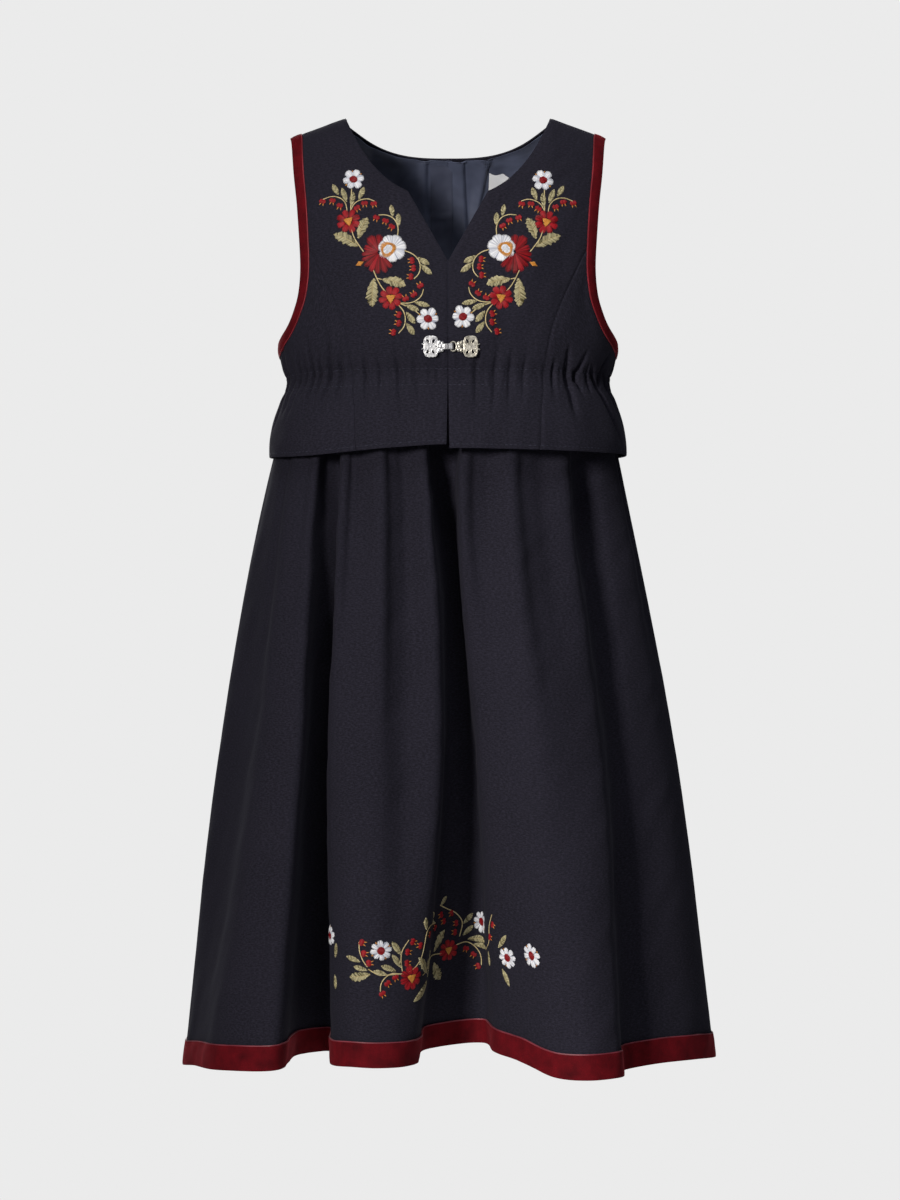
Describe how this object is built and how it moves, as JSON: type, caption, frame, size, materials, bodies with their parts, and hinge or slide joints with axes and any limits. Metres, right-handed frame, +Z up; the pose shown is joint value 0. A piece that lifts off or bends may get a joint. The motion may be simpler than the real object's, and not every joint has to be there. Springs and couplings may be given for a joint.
{
  "type": "bunad costume",
  "caption": "Child's sleeveless bunad dress, hollow as worn: V-necked bodice with gathered waist and peplum, velvet armholes, silver clasp and a full folded skirt.",
  "frame": {"origin": "midway between the shoulders, level with the underside of the cloth at the neck end of the shoulder seams, in the plane of those seams", "axes": "+Z up, -Y towards the front of the dress, +X towards the viewer's right as seen from the front"},
  "size_m": [0.4354, 0.2804, 0.7689],
  "materials": {
    "wool": "navy wool twill with a faint nap",
    "velvet": "wine red velvet",
    "lining": "smooth slate navy lining",
    "label": "plain white tape",
    "silver": "cast silver with dark hollows",
    "button": "dark, lightly polished"
  },
  "bodies": {
    "root": {"front_left": "wool", "front_right": "wool", "side_front_left": "wool", "side_front_right": "wool", "back_left": "wool", "back_right": "wool", "skirt_front": "wool", "skirt_back": "wool", "armhole_binding_left": "velvet", "armhole_binding_right": "velvet", "hem_ribbon_front": "velvet", "hem_ribbon_back": "velvet", "lining_left": "lining", "lining_right": "lining", "placket_back": "lining", "neck_label": "label", "clasp_left": "silver", "clasp_right": "silver", "button_1": "button", "button_2": "button", "button_3": "button", "button_4": "button"}
  },
  "joints": []
}
